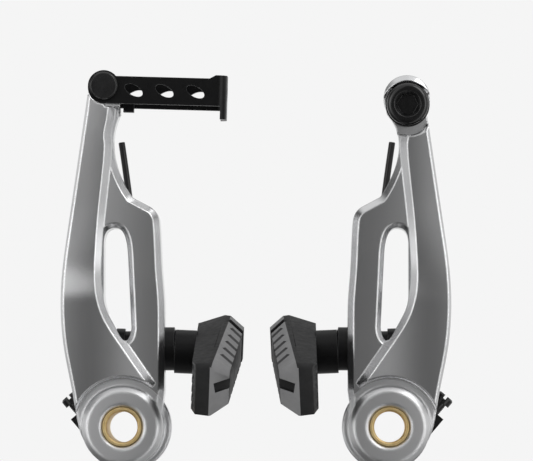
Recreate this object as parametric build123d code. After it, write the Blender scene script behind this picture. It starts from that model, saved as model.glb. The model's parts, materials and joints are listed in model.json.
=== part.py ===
from build123d import *
import math
import os

# Linear-pull bicycle brake: two forged arms, each with a pivot bushing, a return spring,
# a tension screw and an adjustable pad, and a cable link on the left arm.
# Millimetres and degrees. Each arm is drawn as the left one, seen from the front: u runs
# inward from the pivot, z runs up, and depth runs forward from the face of the frame post.

# Layout of the pair
PIVOT_SPAN = 70.0
SIDES = ("left", "right")

# Cuts run past the face that they open, and cuts right through are longer than any piece
CUT_PAST = 1.0
REACH = 200.0

# Pivot bushing
BUSH_BORE_R = 4.05
BUSH_OUTER_R = 5.1
BUSH_LENGTH = 23.4
BUSH_LEAD_IN = 0.4
RUNNING_GAP = 0.05

# Depths of the forged arm
ARM_BACK = 8.2
LEG_FRONT = 20.8
STRUT_FRONT = 22.8
BOSS_FRONT = 23.8
UPPER_BACK = 11.0
UPPER_BACK_START_Z = 64.0
UPPER_BACK_END_Z = 74.0

# Outer edge of the arm, from the top eye down to the pivot boss
STRUT_TOP = (-9.6, 84.0)
STRUT_BEND = (-14.8, 48.5)
STRUT_WIDEST = (-16.1, 36.0)
BODY_SIDE = (-15.2, 20.0)
BODY_FOOT = (-12.7, 7.0)
BOSS_JOIN = (-9.5, -4.5)
BOSS_JOIN_DIRECTION = (0.55, -0.83)

# Inner edge of the arm, from the pivot boss up to the top eye
LEG_FOOT = (10.0, 2.5)
LEG_INNER_U = 11.0
LEG_FLAT_LOW_Z = 9.5
LEG_FLAT_HIGH_Z = 30.0
LEG_WAIST = (10.3, 41.0)
SHOULDER_SIDE = (9.6, 54.0)
SHOULDER_DIRECTION = (-0.1, 1)
SHOULDER_TOP = (7.3, 57.7)
NECK_FOOT = (2.4, 60.3)
NECK_SIDE = (-1.3, 67.5)
NECK_WAIST = (-2.5, 75.0)
NECK_TOP_DROP = 1.8
NECK_TOP_Z = STRUT_TOP[1] - NECK_TOP_DROP
NECK_TOP_U = {"left": -0.7, "right": 0.6}

# Raised face of the strut and lower body: foot of its sloped inner edge
STEP_TOP = (-1.9, 82.0)
STEP_TOP_DIRECTION = (0.25, 1)
STEP_NECK = (-2.9, 75.0)
STEP_WEB = (-4.5, 56.5)
STEP_WINDOW_HIGH = (-5.3, 46.0)
STEP_WINDOW_LOW = (-5.2, 36.0)
STEP_TURN = (-3.4, 29.6)
STEP_DIAGONAL_HIGH = (0.2, 23.6)
STEP_DIAGONAL_LOW = (8.6, 11.5)
STEP_SLOPE = 1.9
STRUT_EDGE_BEVEL = 0.7
LEG_EDGE_BEVEL = 1.6

# Window between the strut and the inner leg
WINDOW_OUTER_U = -5.0
WINDOW_OUTER_HIGH_Z = 48.0
WINDOW_OUTER_LOW_Z = 35.0
WINDOW_LOW_SIDE = (-1.6, 25.6)
WINDOW_APEX = (0.6, 22.6)
WINDOW_LEG_LOW = (2.3, 26.5)
WINDOW_LEG_DIRECTION = (-0.03, 1)
WINDOW_LEG_HIGH = (1.4, 45.0)
WINDOW_TOP = (-2.6, 52.2)
WINDOW_BEVEL = 1.2

# Pivot boss and spring housing
BOSS_R = 10.6
BOSS_BEVEL = 1.3
BOSS_MOUTH_R = 5.95
GROOVE_FLOOR = 20.2
GROOVE_FLOOR_R = 11.5
GROOVE_OUTER_R = 13.2
HOUSING_REAR = 4.8
HOUSING_DEPTH = 5.7
HOUSING_R = 11.6
HOUSING_SHIFT = 0.9
COIL_POCKET_R = 8.9
COIL_POCKET_DEPTH = 3.6
SPRING_EXIT_WIDTH = 4.2
SPRING_EXIT_HEIGHT = 16.0

# Spring carrier and tension screw
CARRIER_REAR = 0.2
CARRIER_FRONT = 3.2
CARRIER_R = 9.6
LUG_FRONT = 4.6
LUG_WIDTH = 6.8
LUG_LENGTH = 8.0
LUG_CLEARANCE = 0.3
SCREW_HEAD_CENTRE = (-15.2, 8.2)
SCREW_LEAN = 40.5
SCREW_DEPTH = 2.5
SCREW_HEAD_R = 2.35
SCREW_HEAD_HEIGHT = 2.2
SCREW_SLOT_WIDTH = 0.8
SCREW_SLOT_DEPTH = 1.0
SCREW_SHANK_R = 1.5
SCREW_LENGTH = 8.6
SCREW_FREE_LENGTH = 5.3
SCREW_HOLE_SPARE = 0.5

# Return spring
WIRE_R = 0.8
COIL_R = 7.2
COIL_TURNS = 1.75
COIL_REAR = 4.2
COIL_PITCH = 1.75
LEG_TIP = (0.0, 75.3)
TAIL_LENGTH = 2.6
TAIL_HOLE_GAP = 0.25

# Spring peg
PEG_R = 1.3
PEG_Z = 58.0
PEG_REAR = 5.6
PEG_SEAT = 2.4

# Pad stud, its seats and its nut
STUD_U = 6.7
STUD_Z = 20.2
STUD_DEPTH = 13.2
STUD_R = 3.0
STUD_YAW = 0.0
STUD_DROP = 2.5
STUD_OUTER_END = -14.2
SLOT_WIDTH = 7.2
PAD_TRAVEL = 2.5
SEAT_GAP = 0.15
SEAT_SPHERE_R = 16.0
DOME_BORE_R = 4.3
INNER_DOME_R = 5.7
OUTER_DOME_R = 5.4
INNER_DOME_HEIGHT = 3.5
OUTER_DOME_HEIGHT = 2.7
CUP_R = 5.75
OUTER_CUP_R = 5.4
OUTER_CUP_END = -8.6
FLAT_WASHER_R = 5.2
FLAT_WASHER_THICK = 1.0
NUT_FLATS = 9.6
NUT_THICK = 4.0
POCKET_OUTER_U = -8.6
POCKET_INNER_U = 2.2
POCKET_LOW_Z = 10.6
POCKET_HIGH_Z = 30.0
POCKET_FRONT = 19.3
POCKET_CORNER_R = 1.0

# Brake pad, in the frame of its stud: length along -Y from tail to nose, thickness inward
PAD_BACK = 12.4
PAD_PITCH = 17.6
PAD_TAIL = 12.0
PAD_NOSE = 33.0
PAD_TAIL_THICK = 12.3
PAD_NOSE_THICK = 9.6
PAD_TAIL_RIDGE = 7.0
PAD_NOSE_RIDGE = 4.7
PAD_TAIL_RIDGE_WIDTH = 1.6
PAD_NOSE_RIDGE_WIDTH = 0.5
PAD_RIDGE_HALF = 7.0
PAD_TAIL_BACK_HALF = 4.4
PAD_NOSE_BACK_HALF = 6.6
PAD_FRICTION_HALF = 4.3
PAD_NOSE_CUT = 4.0
PAD_TAIL_CUT = 2.0
PAD_NOSE_BACK_CUT = (1.2, 4.0)
PAD_SOCKET_R = 4.6
PAD_SOCKET_DEPTH = 3.0
RIB_COUNT = 5
RIB_PITCH = 6.0
RIB_FIRST = 2.6
RIB_START = 0.28
RIB_R = 1.5
RIB_DEPTH = 0.45
RIB_SLANT = -25.0
TAIL_DRAIN_SETBACK = 2.4
TAIL_DRAIN_WIDTH = 2.6
TAIL_DRAIN_DEPTH = 4.0
NOSE_SLOT_WIDTH = 2.6
NOSE_SLOT_START = 1.5
NOSE_SLOT_DEPTH = 1.6
NOSE_SLOT_TILT = 14.0
NOTCH_COUNT = 5
NOTCH_PITCH = 2.5
NOTCH_R = 0.7
NOTCH_LENGTH = 9.0

# Top eye of the right arm, with the cable anchor
ANCHOR_U = -4.8
ANCHOR_Z = 84.6
EYE_TIP_SHIFT = 0.2
EYE_TIP_RISE = 1.6
EYE_TIP = (ANCHOR_U + EYE_TIP_SHIFT, ANCHOR_Z + EYE_TIP_RISE)
EYE_TIP_R = 6.1
EYE_FRONT = 22.0
EYE_BEVEL = 1.6
ANCHOR_RECESS_R = 6.8
ANCHOR_RECESS_DROP = 0.8
ANCHOR_RIM_BEVEL = 1.2
ANCHOR_FLOOR = 17.4
ANCHOR_WASHER_R = 5.8
ANCHOR_WASHER_THICK = 1.5
ANCHOR_HEAD_R = 5.5
ANCHOR_HEAD_HEIGHT = 4.5
ANCHOR_HEAD_EDGE = 1.3
ANCHOR_COUNTERSINK_R = 3.5
ANCHOR_SOCKET_FLATS = 5.0
ANCHOR_SOCKET_DEPTH = 3.0
ANCHOR_SHANK_R = 3.0
ANCHOR_TIP_DEPTH = 9.5
CABLE_GROOVE_R = 0.9

# Top eye of the left arm, with the cable link
PIN_U = -5.0
PIN_Z = 89.5
PIN_R = 2.5
LINK_EYE_R = 3.95
LINK_EYE_BACK = 11.0
LINK_EYE_FRONT = 19.0
LINK_REST_Z = 84.2
PIN_CAP_R = 3.7
PIN_CAP_THICK = 1.6
PIN_CAP_BEVEL = 0.4
PIN_TAIL = 1.4
PIN_TAIL_R = 3.3
LINK_SHEET = 1.5
LINK_SIDE_GAP = 0.3
LINK_END_R = 4.15
LINK_REACH = 32.4
LINK_HALF_HEIGHT = 3.6
LINK_AXIS_DROP = 0.9
LINK_BACK_DROP = 0.7
LINK_DROP = 1.6
LINK_BEND_R = 2.6
LINK_BUMP_RISE = 0.9
LINK_BUMP_FLAT = 3.0
LINK_BUMP_SLOPE = 1.6
LINK_HOLE_FIRST = 7.9
LINK_HOLE_PITCH = 8.1
LINK_HOLE_COUNT = 3
LINK_HOLE_LONG = 5.2
LINK_HOLE_SHORT = 2.7
LINK_HOLE_SLANT = 28.0
LINK_BACK_HOLE_DROP = 1.1
LINK_LIP_DROP = 3.4
LINK_LIP_WIDTH = 1.7
SEAT_HOLE_R = 2.4
SEAT_SLOT_WIDTH = 1.8
STOP_TAB_START = 5.0
STOP_TAB_WIDTH = 2.8
STOP_TAB_DROP = 1.1
STOP_TAB_DEPTH = 3.6


def slab(profile, rear, front):
    """Front-view profile extruded between two depths."""
    return extrude(Plane.XZ.offset(rear) * profile, front - rear)


def disc(u, z, radius):
    """Circle in the front view."""
    return Pos(u, z) * Circle(radius)


def bar_x(u0, u1, profile):
    """Profile in the side view (y, z), extruded along u."""
    return extrude(Plane.YZ.offset(u0) * profile, u1 - u0)


def front_edges(solid, keep):
    """Edges of a slab's front face whose middle passes a test."""
    face = solid.faces().sort_by(Axis.Y)[0]
    return [edge for edge in face.edges() if keep(edge @ 0.5)]


def on_inner_edge(point):
    """Middle of an edge along the inner leg, the shoulder or the neck."""
    on_leg = point.X > WINDOW_LEG_LOW[0] and point.Z > LEG_FOOT[1]
    on_neck = point.X > STEP_WEB[0] and NECK_FOOT[1] < point.Z < NECK_TOP_Z
    return on_leg or on_neck


def on_window_edge(point):
    """Middle of an edge round the window."""
    across = WINDOW_OUTER_U - WINDOW_BEVEL < point.X < WINDOW_LEG_LOW[0]
    return across and WINDOW_APEX[1] < point.Z < WINDOW_TOP[1]


def on_step_edge(point):
    """Middle of an edge along the sloped step of the raised face."""
    return STEP_WINDOW_HIGH[0] <= point.X and STEP_DIAGONAL_LOW[1] < point.Z < STEP_TOP[1]


def on_outer_edge(point):
    """Middle of an edge along the outer side of the arm."""
    return point.X < BOSS_JOIN[0]


def outer_edge_curves():
    """Outer edge of the arm as drawn curves, inside a line builder."""
    strut = Line(STRUT_TOP, STRUT_BEND)
    Spline(
        STRUT_BEND, STRUT_WIDEST, BODY_SIDE, BODY_FOOT, BOSS_JOIN,
        tangents=[strut % 1, BOSS_JOIN_DIRECTION],
    )
    Line(BOSS_JOIN, (0, 0))


def neck_top(side):
    """Upper end of the neck, where the top eye begins."""
    return NECK_TOP_U[side], NECK_TOP_Z


def arm_profile(side):
    """Whole silhouette of strut, web and inner leg, without the top eye."""
    leg_low = (LEG_INNER_U, LEG_FLAT_LOW_Z)
    leg_high = (LEG_INNER_U, LEG_FLAT_HIGH_Z)
    with BuildSketch() as sketch:
        with BuildLine():
            outer_edge_curves()
            Polyline((0, 0), LEG_FOOT, leg_low, leg_high)
            leg = Spline(leg_high, LEG_WAIST, SHOULDER_SIDE, tangents=[(0, 1), SHOULDER_DIRECTION])
            shoulder = TangentArc(SHOULDER_SIDE, SHOULDER_TOP, tangent=leg % 1)
            Line(shoulder @ 1, NECK_FOOT)
            Spline(NECK_FOOT, NECK_SIDE, NECK_WAIST, neck_top(side))
            Line(neck_top(side), STRUT_TOP)
        make_face()
    return sketch.sketch


def raised_profile():
    """Silhouette of the raised strut and lower body, to the foot of its slope."""
    with BuildSketch() as sketch:
        with BuildLine():
            outer_edge_curves()
            Line((0, 0), STEP_DIAGONAL_LOW)
            diagonal = Line(STEP_DIAGONAL_LOW, STEP_DIAGONAL_HIGH)
            Spline(
                STEP_DIAGONAL_HIGH, STEP_TURN, STEP_WINDOW_LOW, STEP_WINDOW_HIGH, STEP_WEB,
                STEP_NECK, STEP_TOP, tangents=[diagonal % 1, STEP_TOP_DIRECTION],
            )
            Line(STEP_TOP, STRUT_TOP)
        make_face()
    return sketch.sketch


def window_profile():
    """Long window between the strut and the inner leg."""
    outer_high = (WINDOW_OUTER_U, WINDOW_OUTER_HIGH_Z)
    outer_low = (WINDOW_OUTER_U, WINDOW_OUTER_LOW_Z)
    with BuildSketch() as sketch:
        with BuildLine():
            Line(outer_high, outer_low)
            Spline(
                outer_low, WINDOW_LOW_SIDE, WINDOW_APEX, WINDOW_LEG_LOW,
                tangents=[(0, -1), WINDOW_LEG_DIRECTION],
            )
            leg = Line(WINDOW_LEG_LOW, WINDOW_LEG_HIGH)
            Spline(WINDOW_LEG_HIGH, WINDOW_TOP, outer_high, tangents=[leg % 1, (0, -1)])
        make_face()
    return sketch.sketch


def turned(profile_points):
    """Solid of revolution about the pivot axis from (radius, depth) points."""
    points = [(radius, -depth) for radius, depth in profile_points]
    return revolve(make_face(Polyline(*points, close=True)), Axis.Y)


def pivot_boss():
    """Turned boss with a bevelled front rim and a bevelled bore mouth."""
    bore_r = BUSH_OUTER_R + RUNNING_GAP
    mouth = BOSS_MOUTH_R - bore_r
    return turned([
        (bore_r, HOUSING_REAR),
        (BOSS_R, HOUSING_REAR),
        (BOSS_R, BOSS_FRONT - BOSS_BEVEL),
        (BOSS_R - BOSS_BEVEL, BOSS_FRONT),
        (BOSS_MOUTH_R, BOSS_FRONT),
        (bore_r, BOSS_FRONT - mouth),
    ])


def boss_groove():
    """Ring groove round the boss, rising in a fillet to the raised face."""
    floor_edge = (GROOVE_FLOOR_R, -GROOVE_FLOOR)
    with BuildSketch() as sketch:
        with BuildLine():
            Line((0, -GROOVE_FLOOR), floor_edge)
            TangentArc(floor_edge, (GROOVE_OUTER_R, -STRUT_FRONT), tangent=(1, 0))
            Polyline(
                (GROOVE_OUTER_R, -STRUT_FRONT), (GROOVE_OUTER_R, -BOSS_FRONT), (0, -BOSS_FRONT),
                (0, -GROOVE_FLOOR),
            )
        make_face()
    return revolve(sketch.sketch, Axis.Y)


def stud_frame():
    """Place of the pad stud: its axis runs along local X, towards the pad."""
    return Pos(STUD_U, -STUD_DEPTH, STUD_Z) * Rot(0, STUD_DROP, 0) * Rot(0, 0, -STUD_YAW)


def arm_blank(side):
    """Forged arm, without its cuts and its top eye."""
    window = window_profile()
    web = slab(arm_profile(side) - window, ARM_BACK, LEG_FRONT)
    web = chamfer(front_edges(web, on_inner_edge), LEG_EDGE_BEVEL)
    web = chamfer(front_edges(web, on_window_edge), WINDOW_BEVEL)
    raised = slab(raised_profile(), ARM_BACK, STRUT_FRONT)
    raised = chamfer(front_edges(raised, on_step_edge), STEP_SLOPE)
    raised = chamfer(front_edges(raised, on_outer_edge), STRUT_EDGE_BEVEL)
    raised -= boss_groove()
    arm = web + raised - slab(window, ARM_BACK - CUT_PAST, BOSS_FRONT)
    arm += slab(disc(HOUSING_SHIFT, 0, HOUSING_R), HOUSING_REAR, HOUSING_REAR + HOUSING_DEPTH)
    return arm + pivot_boss()


def arm_cuts():
    """Bore, spring pocket, pad slot, nut pocket and peg hole of an arm."""
    bore = slab(Circle(BUSH_OUTER_R + RUNNING_GAP), 0, BOSS_FRONT + CUT_PAST)
    coil = slab(Circle(COIL_POCKET_R), 0, HOUSING_REAR + COIL_POCKET_DEPTH)
    exit_u, exit_z = spring_leg_foot()
    exit_middle = Pos(exit_u, exit_z + SPRING_EXIT_HEIGHT / 2)
    spring_exit = slab(exit_middle * Rectangle(SPRING_EXIT_WIDTH, SPRING_EXIT_HEIGHT), 0, ARM_BACK)
    slot_profile = Rot(0, 0, 90) * SlotOverall(SLOT_WIDTH + 2 * PAD_TRAVEL, SLOT_WIDTH)
    slot = bar_x(
        POCKET_INNER_U - CUT_PAST, LEG_INNER_U + CUT_PAST, Pos(-STUD_DEPTH, STUD_Z) * slot_profile
    )
    pocket_profile = RectangleRounded(
        POCKET_INNER_U - POCKET_OUTER_U, POCKET_HIGH_Z - POCKET_LOW_Z, POCKET_CORNER_R
    )
    pocket_centre = Pos((POCKET_INNER_U + POCKET_OUTER_U) / 2, (POCKET_HIGH_Z + POCKET_LOW_Z) / 2)
    pocket = slab(pocket_centre * pocket_profile, 0, POCKET_FRONT)
    upper_back = bar_x(-REACH, REACH, make_face(Polyline(
        (CUT_PAST, UPPER_BACK_START_Z), (-ARM_BACK, UPPER_BACK_START_Z), (-UPPER_BACK, UPPER_BACK_END_Z),
        (-UPPER_BACK, REACH), (CUT_PAST, REACH), close=True,
    )))
    return [bore, coil, spring_exit, slot, pocket, upper_back, spring_peg()]


def left_eye(arm):
    """Left arm's top: a flat tongue that fits between the link's cheeks."""
    tongue = make_face(Polyline(
        STRUT_TOP, (PIN_U - LINK_EYE_R, PIN_Z), (PIN_U + LINK_EYE_R, PIN_Z), neck_top("left"), close=True,
    ))
    arm += slab(tongue + disc(PIN_U, PIN_Z, LINK_EYE_R), LINK_EYE_BACK, LINK_EYE_FRONT)
    above_rest = Pos(PIN_U, LINK_REST_Z + REACH / 2) * Rectangle(REACH, REACH)
    arm -= slab(above_rest, LINK_EYE_FRONT, BOSS_FRONT)
    return arm - slab(disc(PIN_U, PIN_Z, PIN_R), 0, BOSS_FRONT)


def right_eye(arm):
    """Right arm's top: a round eye, recessed for the cable anchor."""
    tip_u, tip_z = EYE_TIP
    neck = make_face(Polyline(
        STRUT_TOP, (tip_u - EYE_TIP_R, tip_z), (tip_u + EYE_TIP_R, tip_z), neck_top("right"), close=True,
    ))
    hood = turned([
        (0, UPPER_BACK),
        (EYE_TIP_R, UPPER_BACK),
        (EYE_TIP_R, EYE_FRONT - EYE_BEVEL),
        (EYE_TIP_R - EYE_BEVEL, EYE_FRONT),
        (0, EYE_FRONT),
    ])
    arm += slab(neck, UPPER_BACK, EYE_FRONT - EYE_BEVEL)
    arm += Pos(tip_u, 0, tip_z) * hood
    arm -= Pos(ANCHOR_U, 0, ANCHOR_Z - ANCHOR_RECESS_DROP) * turned([
        (0, ANCHOR_FLOOR),
        (ANCHOR_RECESS_R, ANCHOR_FLOOR),
        (ANCHOR_RECESS_R, STRUT_FRONT - ANCHOR_RIM_BEVEL),
        (ANCHOR_RECESS_R + ANCHOR_RIM_BEVEL, STRUT_FRONT),
        (ANCHOR_RECESS_R + ANCHOR_RIM_BEVEL, BOSS_FRONT),
        (0, BOSS_FRONT),
    ])
    groove_z = ANCHOR_Z + ANCHOR_SHANK_R + CABLE_GROOVE_R + LINK_SIDE_GAP
    groove = Pos(-ANCHOR_FLOOR, groove_z) * Circle(CABLE_GROOVE_R)
    arm -= bar_x(ANCHOR_U - ANCHOR_RECESS_R, ANCHOR_U + ANCHOR_RECESS_R, groove)
    return arm - slab(disc(ANCHOR_U, ANCHOR_Z, ANCHOR_SHANK_R), 0, BOSS_FRONT)


def bushing():
    """Brass pivot bushing with lead-in bevels at both ends of its bore."""
    return turned([
        (BUSH_BORE_R + BUSH_LEAD_IN, 0),
        (BUSH_OUTER_R, 0),
        (BUSH_OUTER_R, BUSH_LENGTH),
        (BUSH_BORE_R + BUSH_LEAD_IN, BUSH_LENGTH),
        (BUSH_BORE_R, BUSH_LENGTH - BUSH_LEAD_IN),
        (BUSH_BORE_R, BUSH_LEAD_IN),
    ])


def screw_frame():
    """Place of the tension screw: local X runs from its head down into the lug."""
    u, z = SCREW_HEAD_CENTRE
    return Pos(u, -SCREW_DEPTH, z) * Rot(0, 90 - SCREW_LEAN, 0)


def along_x(start, end, radius):
    """Round bar along local X."""
    return extrude(Plane.YZ.offset(start) * Circle(radius), end - start)


def spring_carrier():
    """Plastic ring behind the arm, with the lug that the tension screw threads into."""
    ring = Circle(CARRIER_R) - Circle(BUSH_OUTER_R)
    lug = screw_frame() * Pos(SCREW_FREE_LENGTH, 0, 0) * Box(
        LUG_LENGTH, 2 * LUG_FRONT, LUG_WIDTH, align=(Align.MIN, Align.CENTER, Align.CENTER)
    )
    band = slab(Rectangle(REACH, REACH), CARRIER_REAR, LUG_FRONT)
    housing = disc(HOUSING_SHIFT, 0, HOUSING_R + LUG_CLEARANCE)
    coil_room = slab(housing, CARRIER_FRONT, LUG_FRONT + CUT_PAST)
    lug = (lug & band) - coil_room - slab(Circle(BUSH_OUTER_R), 0, LUG_FRONT)
    carrier = slab(ring, CARRIER_REAR, CARRIER_FRONT) + lug
    screw_hole = screw_frame() * along_x(0, SCREW_LENGTH + SCREW_HOLE_SPARE, SCREW_SHANK_R + RUNNING_GAP)
    tail_u, tail_z = spring_tail()
    tail_hole = slab(disc(tail_u, tail_z, WIRE_R + TAIL_HOLE_GAP), 0, CARRIER_FRONT + CUT_PAST)
    return carrier - screw_hole - tail_hole


def tension_screw():
    """Slotted screw that sets the spring's tension."""
    head = along_x(0, SCREW_HEAD_HEIGHT, SCREW_HEAD_R)
    head = chamfer(head.edges().sort_by(Axis.X)[0], SCREW_SLOT_WIDTH / 2)
    slot = Box(2 * SCREW_SLOT_DEPTH, 3 * SCREW_HEAD_R, SCREW_SLOT_WIDTH)
    return screw_frame() * (head - slot + along_x(SCREW_HEAD_HEIGHT, SCREW_LENGTH, SCREW_SHANK_R))


def spring_leg_foot():
    """Point (u, z) where the straight leg leaves the coil as a tangent."""
    tip_u, tip_z = LEG_TIP
    reach = math.hypot(tip_u, tip_z)
    angle = math.atan2(tip_z, tip_u) - math.acos(COIL_R / reach)
    return COIL_R * math.cos(angle), COIL_R * math.sin(angle)


def spring_tail():
    """Point (u, z) where the coil ends and the tail turns back into the carrier."""
    foot_u, foot_z = spring_leg_foot()
    angle = math.atan2(foot_z, foot_u) - 2 * math.pi * COIL_TURNS
    return COIL_R * math.cos(angle), COIL_R * math.sin(angle)


def return_spring():
    """Torsion spring: tail in the carrier, coil round the bushing, leg up behind the arm."""
    foot_u, foot_z = spring_leg_foot()
    tail_u, tail_z = spring_tail()
    rise = COIL_PITCH * COIL_TURNS
    start_turn = math.degrees(math.atan2(tail_z, tail_u))
    helix = Rot(90, 0, 0) * Rot(0, 0, start_turn) * Helix(COIL_PITCH, rise, COIL_R)
    helix = Pos(0, -COIL_REAR, 0) * helix
    coil = sweep(Plane(helix @ 0, z_dir=helix % 0) * Circle(WIRE_R), path=helix)
    foot = Vector(foot_u, -COIL_REAR - rise, foot_z)
    tip = Vector(LEG_TIP[0], -COIL_REAR - rise, LEG_TIP[1])
    leg = extrude(Plane(foot, z_dir=tip - foot) * Circle(WIRE_R), (tip - foot).length)
    tail = slab(disc(tail_u, tail_z, WIRE_R), COIL_REAR - TAIL_LENGTH, COIL_REAR)
    ends = [Pos(tail_u, -COIL_REAR, tail_z) * Sphere(WIRE_R), Pos(*foot) * Sphere(WIRE_R)]
    return coil + leg + tail + ends


def spring_peg():
    """Pressed pin behind the arm that the spring leg bears on."""
    foot_u, foot_z = spring_leg_foot()
    tip_u, tip_z = LEG_TIP
    along = (PEG_Z - foot_z) / (tip_z - foot_z)
    lean = math.atan2(foot_u - tip_u, tip_z - foot_z)
    offset = (WIRE_R + PEG_R + RUNNING_GAP) / math.cos(lean)
    peg_u = foot_u + along * (tip_u - foot_u) - offset
    return slab(disc(peg_u, PEG_Z, PEG_R), PEG_REAR, ARM_BACK + PEG_SEAT)


def seat_centre(seat_u, height, direction):
    """Centre of a spherical seat on the stud axis: its crown is height above the leg."""
    crown = seat_u + direction * height
    along = crown - direction * SEAT_SPHERE_R - STUD_U
    return (stud_frame() * Pos(along, 0, 0)).position


def dome_washer(seat_u, height, direction, radius):
    """Washer that lies flat on the leg, with a spherical outer face."""
    centre = seat_centre(seat_u, height, direction)
    profile = Pos(centre.Y, centre.Z) * (Circle(radius) - Circle(DOME_BORE_R))
    blank = bar_x(seat_u, seat_u + direction * height, profile)
    return blank & (Pos(centre) * Sphere(SEAT_SPHERE_R))


def stud_bore(gap):
    """Bore round the stud, longer than any piece on it."""
    return along_x(-REACH, REACH, STUD_R + gap)


def cup(seat_u, height, direction, end, radius):
    """Ring on the stud with a hollow spherical face that fits a dome washer."""
    centre = seat_centre(seat_u, height, direction)
    start = seat_u - STUD_U
    ring = along_x(min(start, end), max(start, end), radius) - stud_bore(RUNNING_GAP)
    hollow = Pos(centre) * Sphere(SEAT_SPHERE_R + SEAT_GAP)
    return stud_frame() * ring - hollow


def pad_washers():
    """Seats, spacer, washer and nut on the stud, by node name."""
    nut_start = OUTER_CUP_END - FLAT_WASHER_THICK
    washer = along_x(nut_start, OUTER_CUP_END, FLAT_WASHER_R) - stud_bore(RUNNING_GAP)
    hexagon = RegularPolygon(NUT_FLATS / 2, 6, major_radius=False)
    nut = extrude(Plane.YZ.offset(nut_start - NUT_THICK) * hexagon, NUT_THICK) - stud_bore(0)
    return {
        "inner_dome_washer": dome_washer(LEG_INNER_U, INNER_DOME_HEIGHT, 1, INNER_DOME_R),
        "cup_spacer": cup(LEG_INNER_U, INNER_DOME_HEIGHT, 1, PAD_BACK, CUP_R),
        "outer_dome_washer": dome_washer(POCKET_INNER_U, OUTER_DOME_HEIGHT, -1, OUTER_DOME_R),
        "outer_cup_washer": cup(POCKET_INNER_U, OUTER_DOME_HEIGHT, -1, OUTER_CUP_END, OUTER_CUP_R),
        "flat_washer": stud_frame() * washer,
        "pad_nut": stud_frame() * nut,
    }


def pad_stud():
    """Threaded stud with the round foot that is moulded into the pad."""
    foot = along_x(PAD_BACK, PAD_BACK + PAD_SOCKET_DEPTH, PAD_SOCKET_R)
    return stud_frame() * (along_x(STUD_OUTER_END, PAD_BACK, STUD_R) + foot)


def pad_section(thick, ridge, ridge_width, back_half):
    """Section of the pad from its back to its friction face, with a narrow ridge above and below."""
    upper = [
        (thick, PAD_FRICTION_HALF), (ridge + ridge_width, PAD_RIDGE_HALF),
        (ridge, PAD_RIDGE_HALF), (0, back_half),
    ]
    lower = [(x, -z) for x, z in reversed(upper)]
    return make_face(Polyline(*upper, *lower, close=True))


def pad_end_cuts():
    """Slanted cuts of the nose and tail on the friction side, and of the nose on the back."""
    past_nose = -PAD_NOSE - CUT_PAST
    past_tail = PAD_TAIL + CUT_PAST
    back_width, back_length = PAD_NOSE_BACK_CUT
    nose = Polyline(
        (PAD_NOSE_RIDGE, -PAD_NOSE), (PAD_TAIL_THICK, PAD_NOSE_CUT - PAD_NOSE),
        (PAD_TAIL_THICK, past_nose), (PAD_NOSE_RIDGE, past_nose), close=True,
    )
    tail = Polyline(
        (PAD_TAIL_RIDGE, PAD_TAIL), (PAD_TAIL_THICK + CUT_PAST, PAD_TAIL - PAD_TAIL_CUT),
        (PAD_TAIL_THICK + CUT_PAST, past_tail), (PAD_TAIL_RIDGE, past_tail), close=True,
    )
    nose_back = Polyline(
        (0, back_length - PAD_NOSE), (back_width, -PAD_NOSE), (back_width, past_nose),
        (-CUT_PAST, past_nose), (-CUT_PAST, back_length - PAD_NOSE), close=True,
    )
    height = 2 * PAD_RIDGE_HALF + 2 * CUT_PAST
    return [extrude(Pos(0, 0, -height / 2) * make_face(cut), height) for cut in (nose, tail, nose_back)]


def pad_at(y):
    """Outer edge of the ridge, and the thickness, at a place along the tapered pad."""
    share = (PAD_TAIL - y) / (PAD_TAIL + PAD_NOSE)
    tail_edge = PAD_TAIL_RIDGE + PAD_TAIL_RIDGE_WIDTH
    nose_edge = PAD_NOSE_RIDGE + PAD_NOSE_RIDGE_WIDTH
    ridge = tail_edge + share * (nose_edge - tail_edge)
    thick = PAD_TAIL_THICK + share * (PAD_NOSE_THICK - PAD_TAIL_THICK)
    return ridge, thick


def pad_ribs():
    """Slanted shallow round grooves across the sloping facets beside the friction face."""
    ribs = []
    for index in range(RIB_COUNT):
        y = RIB_FIRST - index * RIB_PITCH
        ridge, thick = pad_at(y)
        slope = math.atan2(PAD_RIDGE_HALF - PAD_FRICTION_HALF, thick - ridge)
        width = (thick - ridge) / math.cos(slope)
        groove = Rot(0, 0, RIB_SLANT) * along_x(0, 2 * width, RIB_R)
        for flip in (1, -1):
            edge = Pos(ridge, y, flip * PAD_RIDGE_HALF) * Rot(0, flip * math.degrees(slope), 0)
            ribs.append(edge * Pos(RIB_START * width, 0, flip * (RIB_R - RIB_DEPTH)) * groove)
    return ribs


def pad_slots():
    """Water slot across the friction face at the tail, and a slot in the middle of the nose."""
    corner = (Align.MIN, Align.CENTER, Align.CENTER)
    drain_y = PAD_TAIL - PAD_TAIL_CUT - TAIL_DRAIN_SETBACK
    drain = Box(2 * TAIL_DRAIN_DEPTH, TAIL_DRAIN_WIDTH, 4 * PAD_RIDGE_HALF, align=corner)
    drain = Pos(pad_at(drain_y)[1] - TAIL_DRAIN_DEPTH, drain_y, 0) * Rot(0, 0, RIB_SLANT) * drain
    slant = math.degrees(math.atan2(PAD_NOSE_CUT, PAD_TAIL_THICK - PAD_NOSE_RIDGE))
    slot = Pos(NOSE_SLOT_START, 0, 0) * Box(PAD_TAIL_THICK, 2 * NOSE_SLOT_DEPTH, NOSE_SLOT_WIDTH, align=corner)
    return [drain, Pos(PAD_NOSE_RIDGE, -PAD_NOSE, 0) * Rot(0, -NOSE_SLOT_TILT, 0) * Rot(0, 0, slant) * slot]


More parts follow.
